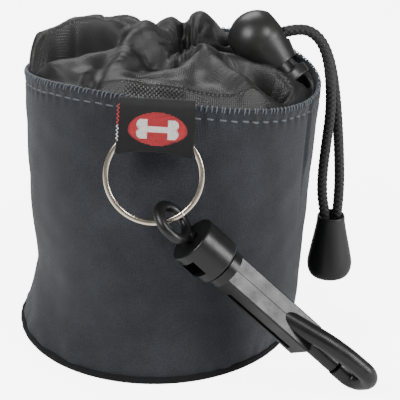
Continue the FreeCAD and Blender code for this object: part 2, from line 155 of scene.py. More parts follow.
def tubes_object(name, rings):
    """One mesh object of many closed tubes given as rings in metres."""
    tubes, count, sides = rings.shape[:3]
    t, i, j = np.meshgrid(np.arange(tubes), np.arange(count - 1), np.arange(sides), indexing="ij")
    start = t * count * sides
    after = (j + 1) % sides
    quads = np.stack([start + i * sides + j, start + i * sides + after,
                      start + (i + 1) * sides + after, start + (i + 1) * sides + j], axis=-1)
    first = np.arange(tubes)[:, None] * count * sides + np.arange(sides)[None, ::-1]
    last = np.arange(tubes)[:, None] * count * sides + (count - 1) * sides + np.arange(sides)[None]
    mesh = bpy.data.meshes.new(name)
    mesh.from_pydata(rings.reshape(-1, 3).tolist(), [],
                     quads.reshape(-1, 4).tolist() + first.tolist() + last.tolist())
    mesh.shade_smooth()
    obj = bpy.data.objects.new(name, mesh)
    scene.collection.objects.link(obj)
    return obj


def braid(name, line):
    """Round braid along a line in metres: yarn centres weave in and out about a mean radius.

    A yarn that goes round by g*2*pi*s/P + its own phase sits at radius 0.92 + g*0.14*cos(8*pi*s/P) mm,
    with g = 1 for one way round and -1 for the other.
    """
    lay, mean, swing = 5.6, 0.92, 0.14
    line = evenly(line, 0.00022)
    tangents, sides, rises = carried_frames(line)
    along = np.concatenate([[0], np.cumsum(np.linalg.norm(np.diff(line, axis=0), axis=1))]) / MM
    yarns, outs = [], []
    for way in (1, -1):
        for start in range(4):
            turn = way * 2 * np.pi * along / lay + start * np.pi / 2
            radius = (mean + way * swing * np.cos(8 * np.pi * along / lay)) * MM
            out = sides * np.cos(turn)[:, None] + rises * np.sin(turn)[:, None]
            yarns.append(line + out * radius[:, None])
            outs.append(out)
    rings = tube_rings(np.array(yarns), 0.62 * MM, 0.34 * MM, np.array(outs), sides=10)
    return tubes_object(name, rings)


def spun_thread(name, colour, roughness, sheen):
    """Spun or braided yarn: fibres as fine bright and dark streaks with a soft sheen."""
    material = bpy.data.materials.new(name)
    material.use_nodes = True
    nodes, links = material.node_tree.nodes, material.node_tree.links
    shader = nodes["Principled BSDF"]
    shader.location = (500, 0)
    shader.inputs["Roughness"].default_value = roughness
    shader.inputs["Sheen Weight"].default_value = sheen
    nodes["Material Output"].location = (800, 0)
    place = nodes.new("ShaderNodeTexCoord")
    place.label = "Object place"
    place.location = (-800, 0)
    fibres = nodes.new("ShaderNodeTexNoise")
    fibres.label = "Fibres"
    fibres.inputs["Scale"].default_value = 5200
    fibres.inputs["Detail"].default_value = 3
    fibres.location = (-550, 0)
    streak = nodes.new("ShaderNodeMapRange")
    streak.label = "Light and dark fibres"
    streak.inputs["From Min"].default_value = 0.3
    streak.inputs["From Max"].default_value = 0.7
    streak.inputs["To Min"].default_value = 0.55
    streak.inputs["To Max"].default_value = 1.35
    streak.location = (-250, 100)
    dye = nodes.new("ShaderNodeVectorMath")
    dye.label = "Dyed yarn"
    dye.operation = "SCALE"
    dye.inputs[0].default_value = colour
    dye.location = (0, 100)
    bump = nodes.new("ShaderNodeBump")
    bump.label = "Fibre relief"
    bump.inputs["Strength"].default_value = 0.5
    bump.inputs["Distance"].default_value = 0.06 * MM
    bump.location = (0, -200)
    links.new(place.outputs["Object"], fibres.inputs["Vector"])
    links.new(fibres.outputs["Fac"], streak.inputs["Value"])
    links.new(streak.outputs["Result"], dye.inputs["Scale"])
    links.new(dye.outputs["Vector"], shader.inputs["Base Color"])
    links.new(fibres.outputs["Fac"], bump.inputs["Height"])
    links.new(bump.outputs["Normal"], shader.inputs["Normal"])
    return material


braid_material = spun_thread("black_braid", (0.007, 0.007, 0.007), 0.55, 0.08)
rear_line = spline_points("rear_route", REAR_ROUTE)
front_line = spline_points("front_route", FRONT_ROUTE)
tail_rear = braid("cord_tail_rear", rear_line)
tail_front = braid("cord_tail_front", front_line)
tail_rear.data.materials.append(braid_material)
tail_front.data.materials.append(braid_material)


# ---------------------------------------------------------------- wall
# A tube of slate grey brushed polyester that leans to one side, with its top edge sewn to the collar.
# It is folded in at the rim, topstitched below it and pulled in a little where the base is sewn on.
LEVELS = (2.0, 7.0, 11.5, 17.0, 33.0, 46.6, 58.0, 70.0)
LEFT = (-34.5, -32.8, -31.5, -30.3, -31.1, -31.4, -31.4, -31.4)
RIGHT = (35.7, 36.8, 37.5, 37.9, 39.0, 39.9, 40.7, 41.7)
DEEP = (34.7, 34.1, 33.8, 33.5, 33.0, 32.5, 31.6, 30.4)
SEAM_TURN = math.radians(-24)
WALL_ROUND = 35.6


def through(at, stations, values):
    """Smooth curve through pairs of station and value: cubic pieces with finite-difference slopes."""
    stations, values = np.asarray(stations, float), np.asarray(values, float)
    slopes = np.gradient(values, stations)
    at = np.clip(at, stations[0], stations[-1])
    k = np.clip(np.searchsorted(stations, at, side="right") - 1, 0, len(stations) - 2)
    step = stations[k + 1] - stations[k]
    t = (at - stations[k]) / step
    return ((2 * t ** 3 - 3 * t ** 2 + 1) * values[k] + (t ** 3 - 2 * t ** 2 + t) * step * slopes[k]
            + (3 * t ** 2 - 2 * t ** 3) * values[k + 1] + (t ** 3 - t ** 2) * step * slopes[k + 1])


def ease(value, low, high):
    """0 below low, 1 above high, smooth in between."""
    t = np.clip((value - low) / (high - low), 0, 1)
    return t * t * (3 - 2 * t)


def ripples(points, wavelength, seed, count=9):
    """Soft unevenness between about -1 and 1: sine waves of one length in seeded directions."""
    dice = np.random.default_rng(seed)
    ways = unit(dice.normal(size=(count, 3)))
    phases = dice.uniform(0, 2 * np.pi, count)
    stretch = dice.uniform(0.7, 1.5, count)
    waves = points @ (ways * stretch[:, None] * 2 * np.pi / wavelength).T + phases
    return np.sin(waves).sum(axis=-1) / count * 1.8


def rim_height(turn):
    """Height of the rim: highest at the front left, lowest at the right."""
    return (69.4 - 1.8 * np.cos(turn) - 2.0 * np.sin(turn) - 1.6 * np.cos(2 * turn)
            + 1.77 * np.sin(2 * turn))


def wall_point(turn, level, outward=0.0):
    """Point of the wall's smooth form in millimetres, moved outwards by a distance."""
    left, right = through(level, LEVELS, LEFT), through(level, LEVELS, RIGHT)
    deep = through(level, LEVELS, DEEP)
    x = (left + right) / 2 + ((right - left) / 2 + outward) * np.cos(turn)
    y = (deep + outward) * np.sin(turn)
    return np.stack([x, y, np.broadcast_to(level, x.shape)], axis=-1)


def wall_relief(turn, level):
    """How far the cloth stands off its smooth form: slack, puckers at both sewn edges, the side seam."""
    form = wall_point(turn, level)
    under_rim = rim_height(turn) - level
    slack = 0.42 * ripples(form * (1, 1, 0.45), 26, 3) + 0.12 * ripples(form, 9, 5)
    slack = slack * ease(level, 3, 16) * ease(under_rim, 2, 12)
    around = turn * 35
    rim_pucker = 0.13 * np.cos(2 * np.pi * around / 2.93) * np.exp(-((under_rim - 3.0) / 1.6) ** 2)
    groove = -0.28 * np.exp(-((under_rim - 3.0) / 0.55) ** 2)
    foot_pucker = (0.30 * ripples(form * (1, 1, 0.12), 8, 11) * np.exp(-((level - 4) / 5.0) ** 2)
                   + 0.16 * ripples(form * (1, 1, 0.2), 4.5, 12) * np.exp(-((level - 3) / 3.0) ** 2))
    past_seam = ease(turn, SEAM_TURN - 0.012, SEAM_TURN + 0.012)
    past_seam = past_seam * (1 - ease(turn, SEAM_TURN, SEAM_TURN + 0.5))
    seam = 0.65 * past_seam * ease(level, 42, 52) - 0.3 * np.exp(-((turn - SEAM_TURN) / 0.016) ** 2) \
        * ease(level, 30, 50)
    return slack + rim_pucker + groove + foot_pucker + seam


def grid_object(name, points, cloth=None, closed=False):
    """Mesh object of quads over rows x columns of points in millimetres.

    cloth holds each point's place on the flat cloth, also in millimetres. A closed grid joins its last
    column to its first, and its cloth has one column more.
    """
    rows, columns = points.shape[:2]
    spans = columns if closed else columns - 1
    i, j = np.meshgrid(np.arange(rows - 1), np.arange(spans), indexing="ij")
    after = (j + 1) % columns
    quads = np.stack([i * columns + j, i * columns + after, (i + 1) * columns + after,
                      (i + 1) * columns + j], axis=-1)
    mesh = bpy.data.meshes.new(name)
    mesh.from_pydata((points.reshape(-1, 3) * MM).tolist(), [], quads.reshape(-1, 4).tolist())
    if cloth is not None:
        layer = mesh.uv_layers.new(name="cloth")
        corners = np.stack([cloth[i, j], cloth[i, j + 1], cloth[i + 1, j + 1], cloth[i + 1, j]], axis=2)
        layer.data.foreach_set("uv", corners.astype(np.float32).ravel())
    mesh.shade_smooth()
    obj = bpy.data.objects.new(name, mesh)
    scene.collection.objects.link(obj)
    return obj


def wrapped(turns):
    """One column more than a closed grid has, for the cloth's own coordinates."""
    return np.append(turns, turns[0] + 2 * np.pi)


def woven_cloth(name, colour, pitch, contrast, roughness, gloss, sheen, mottle, relief):
    """Over-and-under weave of one thread pitch in millimetres, with soft colour changes and painted shade
    between the threads.
    """
    material = bpy.data.materials.new(name)
    material.use_nodes = True
    nodes, links = material.node_tree.nodes, material.node_tree.links
    shader = nodes["Principled BSDF"]
    shader.location = (700, 0)
    shader.inputs["Roughness"].default_value = roughness
    shader.inputs["Sheen Weight"].default_value = sheen
    shader.inputs["Sheen Roughness"].default_value = 0.45
    shader.inputs["Specular IOR Level"].default_value = gloss
    nodes["Material Output"].location = (1000, 0)

    weave_frame = nodes.new("NodeFrame")
    weave_frame.label = "Weave"
    flat = nodes.new("ShaderNodeUVMap")
    flat.label = "Flat cloth, mm"
    flat.uv_map = "cloth"
    flat.location = (-1100, 0)
    warp = nodes.new("ShaderNodeTexWave")
    warp.label = "Warp threads"
    warp.parent = weave_frame
    warp.bands_direction = "X"
    warp.inputs["Scale"].default_value = 0.31416 / pitch
    warp.inputs["Distortion"].default_value = 0.0
    warp.inputs["Phase Offset"].default_value = -math.pi / 2
    warp.location = (-800, 200)
    weft = nodes.new("ShaderNodeTexWave")
    weft.label = "Weft threads"
    weft.parent = weave_frame
    weft.bands_direction = "Y"
    weft.inputs["Scale"].default_value = 0.31416 / pitch
    weft.inputs["Distortion"].default_value = 0.0
    weft.inputs["Phase Offset"].default_value = -math.pi / 2
    weft.location = (-800, -120)
    crossing = nodes.new("ShaderNodeTexChecker")
    crossing.label = "Which thread is on top"
    crossing.parent = weave_frame
    crossing.inputs["Scale"].default_value = 1 / pitch
    crossing.location = (-800, -440)
    top = nodes.new("ShaderNodeMix")
    top.label = "Thread height"
    top.parent = weave_frame
    top.location = (-520, 40)
    links.new(flat.outputs["UV"], warp.inputs["Vector"])
    links.new(flat.outputs["UV"], weft.inputs["Vector"])
    links.new(flat.outputs["UV"], crossing.inputs["Vector"])
    links.new(crossing.outputs["Fac"], top.inputs["Factor"])
    links.new(warp.outputs["Fac"], top.inputs["A"])
    links.new(weft.outputs["Fac"], top.inputs["B"])

    colour_frame = nodes.new("NodeFrame")
    colour_frame.label = "Colour"
    place = nodes.new("ShaderNodeTexCoord")
    place.label = "Object place"
    place.location = (-1100, -700)
    broad = nodes.new("ShaderNodeTexNoise")
    broad.label = "Wear and shading"
    broad.parent = colour_frame
    broad.inputs["Scale"].default_value = 90
    broad.inputs["Detail"].default_value = 6
    broad.inputs["Roughness"].default_value = 0.65
    broad.location = (-800, -760)
    fine = nodes.new("ShaderNodeTexNoise")
    fine.label = "Fibre"
    fine.parent = colour_frame
    fine.inputs["Scale"].default_value = 2600
    fine.inputs["Detail"].default_value = 2
    fine.location = (-800, -1060)
    # Painted shade: the colour is darker, by up to contrast, where the thread surface is low between the
    # threads.
    gap_shade = nodes.new("ShaderNodeMapRange")
    gap_shade.label = "Dark between threads"
    gap_shade.parent = colour_frame
    gap_shade.inputs["To Min"].default_value = 1 - contrast
    gap_shade.inputs["To Max"].default_value = 1.0
    gap_shade.location = (-300, 40)
    spots = nodes.new("ShaderNodeMapRange")
    spots.label = "Mottle"
    spots.parent = colour_frame
    spots.inputs["From Min"].default_value = 0.3
    spots.inputs["From Max"].default_value = 0.7
    spots.inputs["To Min"].default_value = 1 - mottle
    spots.inputs["To Max"].default_value = 1 + mottle
    spots.location = (-540, -760)
    fibre = nodes.new("ShaderNodeMapRange")
    fibre.label = "Fibre shade"
    fibre.parent = colour_frame
    fibre.inputs["From Min"].default_value = 0.3
    fibre.inputs["From Max"].default_value = 0.7
    fibre.inputs["To Min"].default_value = 1 - 0.8 * mottle
    fibre.inputs["To Max"].default_value = 1 + 0.8 * mottle
    fibre.location = (-540, -1060)
    both = nodes.new("ShaderNodeMath")
    both.label = "Mottle and fibre"
    both.parent = colour_frame
    both.operation = "MULTIPLY"
    both.location = (-300, -860)
    shade = nodes.new("ShaderNodeMath")
    shade.label = "All shading"
    shade.parent = colour_frame
    shade.operation = "MULTIPLY"
    shade.location = (-80, -300)
    # The colour is the dye times the mottle, the fibre tone and the painted shade between the threads.
    dye = nodes.new("ShaderNodeVectorMath")
    dye.label = "Dyed cloth"
    dye.parent = colour_frame
    dye.operation = "SCALE"
    dye.inputs[0].default_value = colour
    dye.location = (160, -120)
    links.new(place.outputs["Object"], broad.inputs["Vector"])
    links.new(place.outputs["Object"], fine.inputs["Vector"])
    links.new(top.outputs["Result"], gap_shade.inputs["Value"])
    links.new(broad.outputs["Fac"], spots.inputs["Value"])
    links.new(fine.outputs["Fac"], fibre.inputs["Value"])
    links.new(spots.outputs["Result"], both.inputs[0])
    links.new(fibre.outputs["Result"], both.inputs[1])
    links.new(gap_shade.outputs["Result"], shade.inputs[0])
    links.new(both.outputs["Value"], shade.inputs[1])
    links.new(shade.outputs["Value"], dye.inputs["Scale"])
    links.new(dye.outputs["Vector"], shader.inputs["Base Color"])

    bump = nodes.new("ShaderNodeBump")
    bump.label = "Thread relief"
    bump.inputs["Strength"].default_value = relief
    bump.inputs["Distance"].default_value = 0.12 * MM
    bump.location = (420, -420)
    links.new(top.outputs["Result"], bump.inputs["Height"])
    links.new(bump.outputs["Normal"], shader.inputs["Normal"])
    return material


wall_material = woven_cloth("slate_polyester", (0.034, 0.0375, 0.0445),
                            0.36, 0.42, 0.82, 0.22, 0.2, 0.28, 0.5)
wall_turns = np.linspace(-np.pi, np.pi, 640, endpoint=False) + math.radians(96)
wall_turns = (wall_turns + np.pi) % (2 * np.pi) - np.pi
wall_turns = np.sort(wall_turns)
turn = wall_turns[None, :]
rise = np.linspace(0, 1, 90)[:, None]
level = 1.25 + (rim_height(turn) - 1.25 - 0.7) * rise
outside = wall_point(turn, level, wall_relief(turn, level))
fold_arc = np.linspace(0, np.pi, 7)[1:-1, None]
fold_level = rim_height(turn) - 0.7 + 0.7 * np.sin(fold_arc)
fold = wall_point(turn, fold_level, -0.6 * (1 - np.cos(fold_arc)) + wall_relief(turn, level[-1:]))
sink = np.linspace(1, 0, 24)[:, None]
inside_level = 2.4 + (rim_height(turn) - 0.7 - 2.4) * sink
inside = wall_point(turn, inside_level, wall_relief(turn, inside_level) - 1.2)
hem = wall_point(turn, level[:1], wall_relief(turn, level[:1]))
wall_grid = np.concatenate([outside, fold, inside, hem])
wall_rows = np.concatenate([[0], np.cumsum(np.linalg.norm(np.diff(wall_grid, axis=0), axis=2).mean(axis=1))])
wall_cloth = np.stack(np.broadcast_arrays(wrapped(wall_turns)[None] * WALL_ROUND, wall_rows[:, None]),
                      axis=-1)
wall = grid_object("wall", wall_grid, wall_cloth, closed=True)
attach(wall, "pouch")
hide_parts("outer_wall")
wall.data.materials.append(wall_material)


def wall_place(turn, below, outward):
    """Place on the wall at a distance below its rim, standing off the cloth by outward."""
    level = rim_height(turn) - below
    return wall_point(turn, level, wall_relief(turn, level) + outward)


def wall_out(turn):
    """Direction straight out of the wall."""
    return unit(np.stack([np.cos(turn) * 31, np.sin(turn) * 36, np.zeros_like(turn)], axis=-1))


# ---------------------------------------------------------------- rim stitching
# A row of lock stitches in light grey-blue thread runs 3 mm below the rim.
# Overlock thread wraps the raw edge in short slanted loops.
stitch_count = 76
dice = np.random.default_rng(21)
stitch_turns = (np.arange(stitch_count) + dice.uniform(-0.07, 0.07, stitch_count)) * 2 * np.pi / stitch_count
reach = np.linspace(-0.5, 0.5, 7)[None, :]
stitch_long = 2.25 / WALL_ROUND
along = stitch_turns[:, None] + reach * stitch_long
lift = 0.10 - 0.42 * np.abs(2 * reach) ** 4
dip = dice.uniform(-0.12, 0.12, stitch_count)[:, None] + 0.28 * reach
stitch_lines = wall_place(along, 3.0 + dip, lift)
topstitch = tubes_object("rim_topstitch",
                         tube_rings(stitch_lines, 0.24, 0.17, wall_out(along), 8, taper=0.35) * MM)
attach(topstitch, "pouch")

loop_count = 186
loop_turns = (np.arange(loop_count) + dice.uniform(-0.25, 0.25, loop_count)) * 2 * np.pi / loop_count
over = np.linspace(0, 1, 9)[None, :]
reach_down = dice.uniform(0.3, 0.9, loop_count)[:, None]
wrap = np.pi * over
below = 0.55 - 0.78 * np.sin(wrap) + np.where(over < 0.5, reach_down, 0.6) * (1 - np.sin(wrap))
stand = 0.16 * np.sin(wrap) - 0.6 * (1 - np.cos(wrap)) + 0.12
along = loop_turns[:, None] + (over - 0.5) * dice.uniform(0.5, 1.3, loop_count)[:, None] / WALL_ROUND
loop_out = wall_out(along) * np.cos(wrap)[..., None] + np.array((0, 0, 1.0)) * np.sin(wrap)[..., None]
overlock = tubes_object("rim_overlock",
                        tube_rings(wall_place(along, below, stand), 0.17, 0.14, loop_out, 6, taper=0.3) * MM)
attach(overlock, "pouch")

stitch_material = spun_thread("grey_blue_thread", (0.105, 0.120, 0.140), 0.75, 0.2)
topstitch.data.materials.append(stitch_material)
overlock.data.materials.append(stitch_material)


# ---------------------------------------------------------------- base
# A disc of black cloth under the pouch, and black bias tape folded round the seam between it and the
# wall. The tape is what the pouch stands on, and it is a little lumpy where the cloth is eased in.
def ring_object(name, section, turns, radius, relief):
    """Closed ring whose section is a loop of (outward, level) pairs about a radius, in millimetres."""
    section = np.array(section)
    out, level = section[:, 0][:, None], section[:, 1][:, None]
    stand = radius + out + relief(turns[None, :], level)
    points = np.stack([0.35 + stand * np.cos(turns), stand * np.sin(turns),
                       np.broadcast_to(level, stand.shape)], axis=-1)
    rows = np.concatenate([[0], np.cumsum(np.hypot(*np.diff(section, axis=0).T))])
    cloth = np.stack(np.broadcast_arrays(wrapped(turns)[None] * radius, rows[:, None]), axis=-1)
    return grid_object(name, points, cloth, closed=True)


def tape_relief(turn, level):
    """Lumps of the eased tape, none of them below the floor."""
    form = np.stack(np.broadcast_arrays(35 * np.cos(turn), 35 * np.sin(turn), level * 0.3), axis=-1)
    return (0.22 * ripples(form, 7, 31) + 0.1 * ripples(form, 3, 32)) * ease(level, 0.0, 1.2)


ring_turns = np.linspace(-np.pi, np.pi, 480, endpoint=False)
bend = np.linspace(-0.5, 0.5, 9) * np.pi
tape_section = ([(-2.4, 0.05), (-1.2, 0.0)]
                + [(-0.45 + 0.85 * math.cos(a), 0.95 + 0.95 * math.sin(a)) for a in bend]
                + [(-1.2, 1.8), (-2.4, 1.7), (-2.4, 0.05)])
tape = ring_object("base_tape", tape_section, ring_turns, 35.3, tape_relief)
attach(tape, "pouch")
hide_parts("base_binding")

spread = np.array([0.002, 4, 10, 16, 22, 28, 32, 33.1, 33.1, 28, 16, 0.002])[:, None]
disc_level = np.array([0.12, 0.12, 0.12, 0.1, 0.1, 0.1, 0.1, 0.25, 0.8, 0.8, 0.8, 0.8])[:, None]
disc_points = np.stack(np.broadcast_arrays(spread * np.cos(ring_turns)[None, ::-1],
                                           spread * np.sin(ring_turns)[None, ::-1], disc_level), axis=-1)
disc_cloth = np.concatenate([disc_points, disc_points[:, :1]], axis=1)[..., :2]
panel = grid_object("base_cloth", disc_points[::-1], disc_cloth[::-1], closed=True)
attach(panel, "pouch")
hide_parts("base_panel")

tape_material = woven_cloth("black_tape", (0.007, 0.007, 0.008), 0.30, 0.3, 0.75, 0.2, 0.06, 0.15, 0.5)
tape.data.materials.append(tape_material)
panel.data.materials.append(tape_material)


def moulded_plastic(name, colour, roughness, grain):
    """Black moulded plastic: fine satin grain, soft sheen changes and faint rub marks."""
    material = bpy.data.materials.new(name)
    material.use_nodes = True
    nodes, links = material.node_tree.nodes, material.node_tree.links
    shader = nodes["Principled BSDF"]
    shader.location = (500, 0)
    shader.inputs["Base Color"].default_value = (*colour, 1)
    shader.inputs["IOR"].default_value = 1.5
    nodes["Material Output"].location = (800, 0)
    place = nodes.new("ShaderNodeTexCoord")
    place.label = "Object place"
    place.location = (-800, 0)
    rub = nodes.new("ShaderNodeTexNoise")
    rub.label = "Rubbed and dull patches"
    rub.inputs["Scale"].default_value = 260
    rub.inputs["Detail"].default_value = 8
    rub.inputs["Roughness"].default_value = 0.7
    rub.location = (-550, 150)
    gloss = nodes.new("ShaderNodeMapRange")
    gloss.label = "Roughness"
    gloss.inputs["From Min"].default_value = 0.3
    gloss.inputs["From Max"].default_value = 0.7
    gloss.inputs["To Min"].default_value = roughness - 0.07
    gloss.inputs["To Max"].default_value = roughness + 0.09
    gloss.location = (-250, 150)
    skin = nodes.new("ShaderNodeTexNoise")
    skin.label = "Moulded grain"
    skin.inputs["Scale"].default_value = 3800
    skin.inputs["Detail"].default_value = 3
    skin.location = (-550, -250)
    bump = nodes.new("ShaderNodeBump")
    bump.label = "Grain relief"
    bump.inputs["Strength"].default_value = grain
    bump.inputs["Distance"].default_value = 0.03 * MM
    bump.location = (0, -250)
    links.new(place.outputs["Object"], rub.inputs["Vector"])
    links.new(place.outputs["Object"], skin.inputs["Vector"])
    links.new(rub.outputs["Fac"], gloss.inputs["Value"])
    links.new(gloss.outputs["Result"], shader.inputs["Roughness"])
    links.new(skin.outputs["Fac"], bump.inputs["Height"])
    links.new(bump.outputs["Normal"], shader.inputs["Normal"])
    return material


def dress(material, *node_names):
    """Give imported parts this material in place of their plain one."""
    for node_name in node_names:
        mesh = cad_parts[node_name].data
        mesh.materials.clear()
        mesh.materials.append(material)


board_material = moulded_plastic("grey_board", (0.12, 0.12, 0.12), 0.6, 0.6)
dress(board_material, "base_stiffener")


# ---------------------------------------------------------------- lining
# A wipe-clean black lining: a round bottom that lies on the stiffener and a tube up the inside of the
# wall, cut as one cloth and sewn in below the collar.
lining_turns = np.linspace(-np.pi, np.pi, 240, endpoint=False)
bottom = np.array([0.002, 8, 16, 24, 30, 31.0])[:, None]
bottom_points = np.stack(np.broadcast_arrays(0.6 + bottom * np.cos(lining_turns),
                                             bottom * np.sin(lining_turns), 3.4 + 0 * bottom), axis=-1)
turn = lining_turns[None]
tube_level = np.linspace(4.2, 60, 30)[:, None]
slack = wall_relief(turn, tube_level) * 0.6
tube_points = wall_point(turn, tube_level, slack - 1.9)
tube_back = wall_point(turn, tube_level[::-1], slack[::-1] - 1.5)
under = bottom_points[::-1] - (0, 0, 0.4)
lining_grid = np.concatenate([bottom_points, tube_points, tube_back, under])[::-1]
lining_steps = np.linalg.norm(np.diff(lining_grid, axis=0), axis=2).mean(axis=1)
lining_rows = np.concatenate([[0], np.cumsum(lining_steps)])
lining_cloth = np.stack(np.broadcast_arrays(wrapped(lining_turns)[None] * 34, lining_rows[:, None]), axis=-1)
lining = grid_object("lining", lining_grid, lining_cloth, closed=True)
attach(lining, "pouch")
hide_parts("lining_tube", "lining_base")
lining_material = woven_cloth("black_lining", (0.008, 0.008, 0.009), 0.25, 0.2, 0.45, 0.4, 0.05, 0.08, 0.3)
lining.data.materials.append(lining_material)


# ---------------------------------------------------------------- collar
# Black nylon with a fine grid weave, sewn inside the rim and drawn together into deep uneven folds.
# Each fold is a rounded crest that runs from the rim in to the throat; hollows stay between them.
THROAT, THROAT_WIDE, THROAT_DEEP = (8.5, 2.5), 2.2, 1.8

# Each fold is the rounding of its top, the slope of its sides and the places that its crest runs through.
FOLDS = (
    (3.6, 1.5, ((8, 1.5, 70.5), (2.5, 0.5, 77.0), (-2.1, 0, 81.9), (-5.5, -7, 79.0), (-8.5, -15, 75.5),
                (-9.5, -22, 74.3), (-9, -27, 73.0))),
    (4.6, 1.5, ((3, 6, 73), (-5, 6, 79.5), (-11.5, 4.5, 81.3), (-18, 5, 80.8), (-24, 3, 79), (-28, 2, 76.5),
                (-30, 1, 73))),
    (4.0, 1.2, ((-4, -2, 78.5), (-10, -6, 77.2), (-17, -9, 76.2), (-23, -11.5, 75.4), (-27.5, -12, 74))),
    (3.2, 1.3, ((8, 0.5, 71), (12.3, -5.3, 77.8), (15.6, -10.5, 76.9), (19.6, -17.4, 75.4),
                (23.2, -21.6, 72.8), (26, -24, 70.3))),
    (9.0, 0.9, ((-6, -22, 74.0), (0, -19, 74.8), (5, -14, 75.2), (9, -8, 75.4))),
    (3.2, 1.5, ((15, -1, 72), (17.5, -4.5, 75), (21.5, -5.8, 75.6), (27, -6.3, 73.6),
                (32, -6.8, 70.6), (36.5, -6, 67.0))),
    (3.2, 1.6, ((9, 6, 73), (4.5, 10, 77.2), (4, 16, 77), (2, 24, 72))),
    (3.6, 1.6, ((9.5, 6, 73), (10.3, 9.5, 78.6), (12, 16, 77.6), (14, 24, 70))),
    (2.8, 1.4, ((4, 8, 73), (-4, 14, 77), (-14, 20, 75), (-20, 23, 71))),
    (2.8, 1.4, ((15, 6, 71), (24, 15, 72), (32, 19, 68))))

# Each hollow is a place, its half-length, half-width, heading in degrees and depth.
HOLLOWS = (
    (1.5, -8.5, 6.0, 3.4, -20, 3.2), (24.8, -10.0, 7.0, 4.2, -28, 9.5), (-19, -2.5, 11, 3.5, 4, 9.5),
    (-13.5, -19, 6.5, 2.2, 75, 2.6), (7.6, -6.6, 2.8, 1.7, 10, 4.0), (0.5, -19.0, 7.0, 2.6, 14, 1.6),
    (-9.5, 7.5, 3.2, 1.3, 60, 4.5), (7.4, 9.0, 4.5, 1.1, 85, 4.0), (-18, -19, 8.0, 2.8, -30, 2.2),
    (-18, 10, 5, 1.8, 20, 2.0), (-1, 14, 5, 1.6, 100, 3.5), (19, 14, 6, 1.6, 60, 4.0),
    (-16, 13, 7, 2.0, 140, 3.0))


def hollow_depth(x, y):
    """How far the hollows pull the cloth down at a place of the plan: a sum of long Gaussian dents."""
    total = np.zeros(x.shape)
    for centre_x, centre_y, half_long, half_wide, heading, depth in HOLLOWS:
        turned = math.radians(heading)
        ahead = (x - centre_x) * math.cos(turned) + (y - centre_y) * math.sin(turned)
        beside = (y - centre_y) * math.cos(turned) - (x - centre_x) * math.sin(turned)
        total += depth * np.exp(-((ahead / half_long) ** 2 + (beside / half_wide) ** 2) ** 1.4)
    return total


def crest_height(x, y, rounding, slope, crest):
    """Height of one fold over the plan: its crest's height less a fall of slope beyond a round top."""
    crest = np.array(crest, float)
    stations = np.concatenate([[0], np.cumsum(np.hypot(*np.diff(crest[:, :2], axis=0).T))])
    fine = np.linspace(0, stations[-1], 26)
    line = np.stack([through(fine, stations, crest[:, axis]) for axis in range(3)], axis=1)
    best = np.full(x.shape, -1e3)
    for (ax, ay, az), (bx, by, bz) in zip(line, line[1:]):
        dx, dy = bx - ax, by - ay
        share = np.clip(((x - ax) * dx + (y - ay) * dy) / (dx * dx + dy * dy), 0, 1)
        apart = np.hypot(x - ax - share * dx, y - ay - share * dy)
        fall = slope * (np.sqrt(apart ** 2 + rounding ** 2) - rounding)
        best = np.maximum(best, az + share * (bz - az) - fall)
    return best


def collar_height(x, y, floor):
    """Smooth maximum of the folds over a floor."""
    blend_over = 0.9
    total = np.exp((floor - 70) / blend_over)
    for rounding, slope, crest in FOLDS:
        total = total + np.exp((crest_height(x, y, rounding, slope, crest) - 70) / blend_over)
    return 70 + blend_over * np.log(total)


collar_turns = np.linspace(-1.5 * np.pi, 0.5 * np.pi, 460, endpoint=False)
turn = collar_turns[None, :]
inward = np.linspace(0, 1, 96)[:, None]
edge = wall_point(turn, rim_height(turn), -1.35)
throat_x = THROAT[0] + THROAT_WIDE * np.cos(turn)
throat_y = THROAT[1] + THROAT_DEEP * np.sin(turn)
x = edge[..., 0] * (1 - inward) + throat_x * inward
left_bulge = 2.2 * np.exp(-((turn + math.pi + 0.12) / 0.42) ** 2)
x = x - left_bulge * np.exp(-((inward - 0.06) / 0.06) ** 2)
y = edge[..., 1] * (1 - inward) + throat_y * inward
puff = ease(inward, 0.0, 0.12) * (1 - ease(inward, 0.2, 0.6))
floor = rim_height(turn) - 0.8 + (2.0 - 1.0 * np.sin(turn)) * puff - (rim_height(turn) - 65.5) * inward ** 2
height = collar_height(x, y, floor) - hollow_depth(x, y)
height = rim_height(turn) - 1.2 + (height - rim_height(turn) + 1.2) * ease(inward, 0.0, 0.09)
from_throat = np.hypot(x - THROAT[0], y - THROAT[1])
plan = np.stack([x, y, 0 * x], axis=-1)
pleats = 0.42 * np.cos(23 * turn + 2.2 * ripples(plan, 14, 41)) * np.exp(-((from_throat - 4) / 5.5) ** 2)
height = height + pleats + 0.5 * ripples(plan * (1, 0.6, 1), 10, 44) + 0.25 * ripples(plan, 6, 42)
height = height + 0.08 * ripples(plan, 3, 43)
height = height - 8 * (1 - ease(from_throat, 1.5, 5.0))

# The lock lies in a pocket of the cloth: a row of balls along its axis gives its underside, with room.
LOCK_AT, BUTTON_WAY = np.array((25.8, 4.0, 75.4)), unit(np.array((0.6201, -0.3460, -0.7041)))
LOCK_ROOM = 0.7
lock_reach = np.linspace(0, 11.5, 24)
lock_radius = np.interp(lock_reach, (0, 2, 9, 11.5), (7.3, 7.3, 5.8, 5.8))
for reach, radius in zip(lock_reach, lock_radius):
    ball = LOCK_AT + reach * BUTTON_WAY
    beside = np.hypot(x - ball[0], y - ball[1])
    under = ball[2] - np.sqrt(np.maximum((radius + LOCK_ROOM) ** 2 - beside ** 2, 0))
    height = np.where(beside < radius + LOCK_ROOM, np.minimum(height, under), height)
collar_grid = np.stack([x, y, height], axis=-1)
foot_drop = np.linspace(12, 0.5, 8)[:, None]
foot = wall_point(turn, rim_height(turn) - 1.2 - foot_drop, -1.5)
collar_grid = np.concatenate([foot, collar_grid])
steps_in = np.linalg.norm(np.diff(collar_grid, axis=0), axis=2)
joined = np.concatenate([collar_grid, collar_grid[:, :1]], axis=1)
steps_round = np.linalg.norm(np.diff(joined, axis=1), axis=2)
